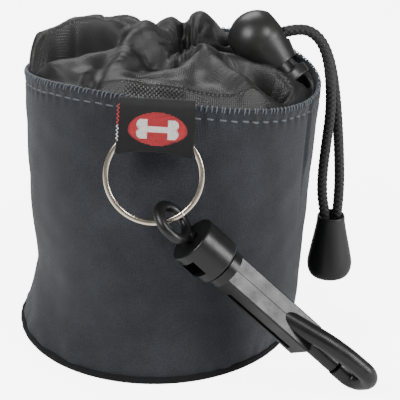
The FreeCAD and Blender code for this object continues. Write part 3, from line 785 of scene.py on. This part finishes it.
v = np.concatenate([np.zeros((1, steps_in.shape[1])), np.cumsum(steps_in, axis=0)])
v = np.concatenate([v, v[:, :1]], axis=1)
u = np.concatenate([np.zeros((len(steps_round), 1)), np.cumsum(steps_round, axis=1)], axis=1)
u = u - u[:, len(collar_turns) // 2][:, None]
collar = grid_object("collar_cloth", collar_grid, np.stack([u, v], axis=-1), closed=True)
thick = collar.modifiers.new("cloth_gauge", "SOLIDIFY")
thick.thickness = 0.25 * MM
thick.offset = -1.0
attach(collar, "pouch")
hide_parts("collar")
collar_material = woven_cloth("black_grid_nylon", (0.010, 0.0095, 0.009),
                              0.52, 0.55, 0.38, 0.52, 0.03, 0.12, 0.5)
collar.data.materials.append(collar_material)


# ---------------------------------------------------------------- drawstring in the hem
# The same braid runs from the lock round the throat and back to the lock.
# It lies inside the collar's hem, where it is hardly seen.
HEM_RADIUS, HEM_LEVEL, HEM_X, HEM_Y = 0.0084426, 0.0696, 0.009, 0.002
hem_round = [(HEM_X + HEM_RADIUS * math.cos(math.radians(45 + 45 * step)),
              HEM_Y + HEM_RADIUS * math.sin(math.radians(45 + 45 * step)), HEM_LEVEL) for step in range(7)]
CAPTIVE_ROUTE = [REAR_ROUTE[0], (0.02130, 0.00226, 0.06859)] + hem_round + [(0.02130, -0.00036, 0.06988),
                                                                             FRONT_ROUTE[0]]
hem_cord = braid("cord_in_hem", spline_points("captive_route", CAPTIVE_ROUTE))
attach(hem_cord, "pouch")
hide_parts("drawstring")
hem_cord.data.materials.append(braid_material)


# ---------------------------------------------------------------- cord lock
# A ball of satin black plastic that grips both strands, with a button pressed into it on a spring.
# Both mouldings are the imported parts; they only get their finish here.
lock_material = moulded_plastic("lock_black_plastic", (0.016, 0.016, 0.0155), 0.36, 0.4)
dress(lock_material, "lock_body", "lock_plunger")


# ---------------------------------------------------------------- end bell
# A moulded black plastic bell over the two cord ends: a narrow neck, a full belly and a turned-in
# mouth. The knot of both strands is trapped inside it by a cap.
BELL_X, BELL_Y, BELL_LOW = 45.6, 5.0, 9.4

# Radius and height from the mouth up the outside, over the neck and back down the inside.
BELL_HALF = (
    (4.35, 2.0), (4.3, 0.15), (4.6, 0.0), (5.0, 0.25), (5.45, 1.0), (5.76, 2.1), (5.85, 3.3), (5.7, 4.6),
    (5.25, 7.0), (4.65, 10.0), (4.1, 12.8), (3.68, 15.2), (3.62, 16.6), (3.45, 17.1), (3.15, 17.2),
    (3.0, 16.9), (3.0, 13.8), (4.2, 10.2), (4.3, 2.2), (4.35, 2.0))
half = np.array(BELL_HALF)
stations = np.linspace(0, 1, len(half))
fine = np.linspace(0, 1, 6 * (len(half) - 1) + 1)
bell_r, bell_z = np.interp(fine, stations, half[:, 0]), np.interp(fine, stations, half[:, 1])
soften = np.array([1, 2, 3, 2, 1]) / 9
bell_r[2:-2], bell_z[2:-2] = np.convolve(bell_r, soften, "valid"), np.convolve(bell_z, soften, "valid")
bell_turns = np.linspace(0, 2 * np.pi, 96, endpoint=False)
bell_points = np.stack(np.broadcast_arrays(BELL_X + bell_r[:, None] * np.cos(bell_turns),
                                           BELL_Y + bell_r[:, None] * np.sin(bell_turns),
                                           BELL_LOW + bell_z[:, None]), axis=-1)
bell = grid_object("end_bell", bell_points, closed=True)
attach(bell, "pouch")
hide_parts("cord_bell")
bell_material = moulded_plastic("bell_black_plastic", (0.007, 0.007, 0.007), 0.42, 0.35)
bell.data.materials.append(bell_material)
dress(bell_material, "bell_plug")
dress(braid_material, "cord_knot")

for tail, line, node in ((tail_rear, rear_line, "drawstring_tail_rear"),
                         (tail_front, front_line, "drawstring_tail_front")):
    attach(tail, "pouch")
    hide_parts(node)


# ---------------------------------------------------------------- ribbon tab
# Black woven ribbon is folded round the ring and sewn into the rim, front and back together.
# It bends at its seam, so it turns from the pouch to the tab over its first few millimetres.
RING_AT = np.array((0.95, -37.1, 57.75))
RING_TILT = math.radians(13.5)
RING_UP = np.array((0, math.sin(RING_TILT), math.cos(RING_TILT)))
RING_OUT = np.array((0, -math.cos(RING_TILT), math.sin(RING_TILT)))
TAB_ROLL = math.radians(-3.2)


def ribbon_path(x):
    """Front top, down the front, round the fold and up the back, as (out, up) pairs for each x."""
    arch = 1.1 * (1 - (x / 8.9) ** 2)
    low = 3.6 + arch
    stations = (0, 0.12, 0.3, 0.42, 0.48, 0.52, 0.58, 0.7, 0.88, 1)
    out = np.stack([through(share, stations, (-1.9, 0.6, 1.65, 1.75, 1.2, -0.6, -1.7, -1.75, -1.2, -2.7))
                    for share in np.linspace(0, 1, 71)])
    up_stations = [17.6, 15.6, 11.2, 7.1, 5.0, 4.7, 6.3, 10.3, 15.0, 16.9]
    up = np.stack([through(share, stations, up_stations) for share in np.linspace(0, 1, 71)])
    drop = (1 - ease(up, 4.8, 13.0))[:, None] * (low - 3.6)[None, :]
    return np.broadcast_to(out[:, None], drop.shape), up[:, None] + drop


ribbon_x = np.linspace(-8.4, 9.3, 61)
ribbon_out, ribbon_up = ribbon_path(ribbon_x)


def in_tab(x, out, up):
    """Point in millimetres of the tab's own frame, rolled a little like the rim it is sewn to."""
    turned_x = x * math.cos(TAB_ROLL) - (up - 10) * math.sin(TAB_ROLL)
    turned_up = x * math.sin(TAB_ROLL) + (up - 10) * math.cos(TAB_ROLL) + 10
    return (RING_AT + np.asarray(turned_x)[..., None] * np.array((1.0, 0, 0))
            + np.asarray(out)[..., None] * RING_OUT + np.asarray(turned_up)[..., None] * RING_UP)


x_grid = np.broadcast_to(ribbon_x[None, :], ribbon_out.shape)
wave = 0.12 * ripples(np.stack([x_grid, ribbon_up, ribbon_out], axis=-1), 9, 51)
ribbon_points = in_tab(x_grid, ribbon_out + wave, ribbon_up)
ribbon_steps = np.linalg.norm(np.diff(ribbon_points, axis=0), axis=2)[:, 30]
ribbon_rows = np.concatenate([[0], np.cumsum(ribbon_steps)])
ribbon_cloth = np.stack(np.broadcast_arrays(ribbon_x[None, :], ribbon_rows[:, None]), axis=-1)
ribbon = grid_object("tab_ribbon", ribbon_points, ribbon_cloth)
thick = ribbon.modifiers.new("ribbon_gauge", "SOLIDIFY")
thick.thickness = 0.4 * MM
thick.offset = 0.0
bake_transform(ribbon)
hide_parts("label_loop")
ribbon_material = woven_cloth("black_ribbon", (0.009, 0.009, 0.010),
                              0.26, 0.35, 0.62, 0.25, 0.06, 0.12, 0.5)
ribbon.data.materials.append(ribbon_material)


# ---------------------------------------------------------------- woven mark and edge thread
# A white bone on a brick red oval, woven into the ribbon's front: short thread rows that lie on it.
# A red thread closes the ribbon's left edge over its upper half and a white one below it.
def ribbon_front(x, up, lift):
    """Point that stands off the ribbon's front by lift at a place (x, up) of the tab."""
    front = slice(8, 36)
    out = np.interp(up, ribbon_up[front][::-1, 30], ribbon_out[front][::-1, 30])
    wave_here = 0.12 * ripples(np.stack(np.broadcast_arrays(x, up, out), axis=-1), 9, 51)
    return in_tab(x, out + lift + wave_here, up)


SHAFT_HALF = 0.75


def bone_half_width(across):
    """Half the length of the bone's row at a height across it, or 0 outside: a shaft and four round ends."""
    shaft = np.where(np.abs(across) < SHAFT_HALF, 3.4, 0.0)
    knob = 3.6 + np.sqrt(np.maximum(1.3 ** 2 - (np.abs(across) - 0.95) ** 2, 0))
    return np.where(np.abs(across) < 2.25, np.maximum(shaft, np.where(knob > 3.6, knob, 0)), 0.0)


MARK_X, MARK_UP, PATCH_LONG, PATCH_HIGH = 0.9, 11.2, 7.3, 3.75
NOTCH_HALF, PATCH_LIFT, BONE_LIFT = 2.3, 0.14, 0.27
share = np.linspace(-1, 1, 15)
patch_rows, bone_rows = [], []
for across in np.arange(-14, 15) * 0.26:
    half_long = float(bone_half_width(across))
    edge = PATCH_LONG * math.sqrt(1 - (across / PATCH_HIGH) ** 2)
    spans = [(patch_rows, -edge, edge, PATCH_LIFT)]
    if half_long and abs(across) < SHAFT_HALF:
        spans.append((bone_rows, -half_long, half_long, BONE_LIFT))
    elif half_long:
        spans.append((bone_rows, -half_long, -NOTCH_HALF, BONE_LIFT))
        spans.append((bone_rows, NOTCH_HALF, half_long, BONE_LIFT))
    for kept_rows, low_x, high_x, lift in spans:
        row_x = MARK_X + (low_x + high_x) / 2 + (high_x - low_x) / 2 * share
        kept_rows.append(ribbon_front(row_x, MARK_UP + across + 0 * row_x, lift))


def woven_rows(name, rows):
    """Short flat threads side by side on the ribbon's front."""
    rows = np.array(rows)
    facing = np.broadcast_to(RING_OUT, rows.shape)
    woven = tubes_object(name, tube_rings(rows, 0.15, 0.10, facing, 6, taper=0.1) * MM)
    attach(woven, "tab")
    return woven


patch = woven_rows("woven_patch", patch_rows)
bone = woven_rows("woven_bone", bone_rows)
red_thread = spun_thread("brick_red_thread", (0.46, 0.016, 0.022), 0.6, 0.2)
white_thread = spun_thread("white_thread", (0.62, 0.60, 0.58), 0.7, 0.2)
patch.data.materials.append(red_thread)
bone.data.materials.append(white_thread)


def edge_thread(name, low_up, high_up):
    """Zigzag thread over the ribbon's left edge between two heights."""
    up = np.arange(low_up, high_up, 0.12)
    swing = np.sin(up * 2 * np.pi / 0.9)
    line = ribbon_front(-8.25 + 0.22 * swing, up, 0.22)
    facing = np.broadcast_to(RING_OUT, line[None].shape)
    thread = tubes_object(name, tube_rings(line[None], 0.11, 0.09, facing, 6, taper=0.05) * MM)
    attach(thread, "tab")
    return thread


red_edge = edge_thread("edge_thread_red", 12.0, 16.6)
white_edge = edge_thread("edge_thread_white", 8.0, 11.9)
red_edge.data.materials.append(red_thread)
white_edge.data.materials.append(white_thread)


# ---------------------------------------------------------------- split ring
# Two close turns of flat spring wire, plated with nickel.
# Each turn is flat, and the wire crosses from one to the other beside its end.
RING_MEAN, RING_PITCH, RING_START = 11.1, 0.72, math.radians(-48)
ring_turns_at = np.linspace(0.0, 4 * np.pi - math.radians(4), 420)
crossover = ease(ring_turns_at, 2 * np.pi - math.radians(52), 2 * np.pi - math.radians(4))
ring_lift = (crossover - 0.5) * RING_PITCH
ring_turns_at = ring_turns_at + RING_START
ring_line = (RING_AT + RING_MEAN * np.cos(ring_turns_at)[:, None] * np.array((1.0, 0, 0))
             + RING_MEAN * np.sin(ring_turns_at)[:, None] * RING_UP + ring_lift[:, None] * RING_OUT)
ring_tangent = unit(np.gradient(ring_line, axis=0))
ring_side = unit(np.cross(ring_tangent, RING_OUT))
section_turn = np.linspace(0, 2 * np.pi, 20, endpoint=False)
square = 2.6
section_wide = 0.60 * np.sign(np.cos(section_turn)) * np.abs(np.cos(section_turn)) ** (2 / square)
section_deep = 0.33 * np.sign(np.sin(section_turn)) * np.abs(np.sin(section_turn)) ** (2 / square)
ring_points = (ring_line[:, None] + ring_side[:, None] * section_wide[None, :, None]
               + RING_OUT[None, None] * section_deep[None, :, None])
key_ring = tubes_object("key_ring", ring_points[None] * MM)
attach(key_ring, "ring")
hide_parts("split_ring")


def plated_metal(name, colour, roughness):
    """Drawn wire: fine scratches and slightly uneven plating."""
    material = bpy.data.materials.new(name)
    material.use_nodes = True
    nodes, links = material.node_tree.nodes, material.node_tree.links
    shader = nodes["Principled BSDF"]
    shader.location = (500, 0)
    shader.inputs["Base Color"].default_value = (*colour, 1)
    shader.inputs["Metallic"].default_value = 1.0
    nodes["Material Output"].location = (800, 0)
    place = nodes.new("ShaderNodeTexCoord")
    place.label = "Object place"
    place.location = (-800, 0)
    scratches = nodes.new("ShaderNodeTexNoise")
    scratches.label = "Fine scratches"
    scratches.inputs["Scale"].default_value = 1400
    scratches.inputs["Detail"].default_value = 5
    scratches.location = (-550, 0)
    gloss = nodes.new("ShaderNodeMapRange")
    gloss.label = "Roughness"
    gloss.inputs["To Min"].default_value = roughness - 0.06
    gloss.inputs["To Max"].default_value = roughness + 0.14
    gloss.location = (-250, 100)
    bump = nodes.new("ShaderNodeBump")
    bump.label = "Scratch relief"
    bump.inputs["Strength"].default_value = 0.12
    bump.inputs["Distance"].default_value = 0.02 * MM
    bump.location = (0, -200)
    links.new(place.outputs["Object"], scratches.inputs["Vector"])
    links.new(scratches.outputs["Fac"], gloss.inputs["Value"])
    links.new(gloss.outputs["Result"], shader.inputs["Roughness"])
    links.new(scratches.outputs["Fac"], bump.inputs["Height"])
    links.new(bump.outputs["Normal"], shader.inputs["Normal"])
    return material


nickel = plated_metal("warm_nickel", (0.80, 0.71, 0.58), 0.17)
key_ring.data.materials.append(nickel)


# ---------------------------------------------------------------- springs
# Round steel wire springs: one behind the snap's bolt and one under the cord lock's button.
def wire_spring(name, foot, way, mean, wire, tall, turns):
    """Helix of round wire about an axis: its middle line turns evenly while it rises from the foot."""
    side = unit(np.cross(way, (0, 1.0, 0)))
    other = np.cross(way, side)
    angle = np.linspace(0, 2 * np.pi * turns, 24 * turns + 1)
    out = np.cos(angle)[:, None] * side + np.sin(angle)[:, None] * other
    line = foot + np.linspace(0, tall, len(angle))[:, None] * way + mean * out
    return tubes_object(name, tube_rings(line[None], wire, wire, out[None], 10) * MM)


SNAP_EYE, SNAP_WAY = np.array((5.3496, -39.4965, 46.8577)), unit(np.array((0.6944, 0.0461, -0.7181)))
SPRINGS = (
    ("gate_coil", "gate_spring", "hook", "gate_slide",
     SNAP_EYE + 22.2 * SNAP_WAY, SNAP_WAY, 1.5, 0.3, 12.4, 8, 0.31),
    ("lock_coil", "lock_spring", "pouch", "plunger_push",
     LOCK_AT - 4.8 * BUTTON_WAY, BUTTON_WAY, 2.9, 0.35, 3.0, 3, 0.36))
spring_material = plated_metal("spring_steel", (0.46, 0.46, 0.48), 0.3)
for name, node, body, joint, foot, way, mean, wire, tall, turns, keep in SPRINGS:
    spring = wire_spring(name, foot, way, mean, wire, tall, turns)
    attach(spring, body)
    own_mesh(spring)
    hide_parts(node)
    spring.data.materials.append(spring_material)


# ---------------------------------------------------------------- bolt snap
# Satin black mouldings: the eye on the ring, the barrel, box and hook in one piece, and the sliding bolt.
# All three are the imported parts; they only get their finish here.
satin_plastic = moulded_plastic("satin_black_plastic", (0.006, 0.006, 0.0058), 0.34, 0.40)
dress(satin_plastic, "swivel_eye", "hook_body", "gate_bolt")


# ---------------------------------------------------------------- floor and light
# A pale floor, an even room and four soft lamps, so that black parts still show their form.
# The floor glows for the camera only, so it looks like white paper and lights nothing.
floor_mesh = bpy.data.meshes.new("floor")
floor_mesh.from_pydata([(-3, -3, 0), (3, -3, 0), (3, 3, 0), (-3, 3, 0)], [], [(0, 1, 2, 3)])
floor_object = bpy.data.objects.new("floor", floor_mesh)
scene.collection.objects.link(floor_object)
floor_material = bpy.data.materials.new("pale_floor")
floor_material.use_nodes = True
floor_shader = floor_material.node_tree.nodes["Principled BSDF"]
floor_shader.inputs["Base Color"].default_value = (0.86, 0.86, 0.86, 1)
floor_shader.inputs["Roughness"].default_value = 0.8
floor_shader.inputs["Emission Color"].default_value = (1, 1, 1, 1)
seen = floor_material.node_tree.nodes.new("ShaderNodeLightPath")
seen.label = "Seen by the camera only"
seen.location = (-500, -300)
paper_glow = floor_material.node_tree.nodes.new("ShaderNodeMath")
paper_glow.label = "White paper"
paper_glow.operation = "MULTIPLY"
paper_glow.inputs[1].default_value = 6.0
paper_glow.location = (-250, -300)
floor_material.node_tree.links.new(seen.outputs["Is Camera Ray"], paper_glow.inputs[0])
floor_material.node_tree.links.new(paper_glow.outputs["Value"], floor_shader.inputs["Emission Strength"])
floor_mesh.materials.append(floor_material)

world = bpy.data.worlds.new("room")
world.use_nodes = True
world.node_tree.nodes["Background"].inputs["Color"].default_value = (1, 1, 1, 1)
world.node_tree.nodes["Background"].inputs["Strength"].default_value = 0.18
scene.world = world


def soft_lamp(name, place, target, wide, power):
    """Square area lamp that faces a target."""
    lamp = bpy.data.lights.new(name, "AREA")
    lamp.size = wide
    lamp.energy = power
    holder = bpy.data.objects.new(name, lamp)
    holder.location = place
    way = np.array(target) - np.array(place)
    flat_reach = math.hypot(way[0], way[1])
    holder.rotation_euler = (math.atan2(flat_reach, -way[2]), 0, math.atan2(way[0], -way[1]) + math.pi)
    scene.collection.objects.link(holder)
    return holder


soft_lamp("key", (-0.40, -0.30, 0.50), (0.0, 0.0, 0.05), 0.26, 4.0)
soft_lamp("snap_side", (0.42, -0.34, 0.56), (0.03, -0.04, 0.03), 0.22, 2.6)
soft_lamp("back_rim", (-0.12, 0.42, 0.50), (0.0, 0.0, 0.07), 0.40, 2.4)
soft_lamp("snap_gloss", (0.60, -0.20, 0.21), (0.03, -0.04, 0.03), 0.22, 2.4)
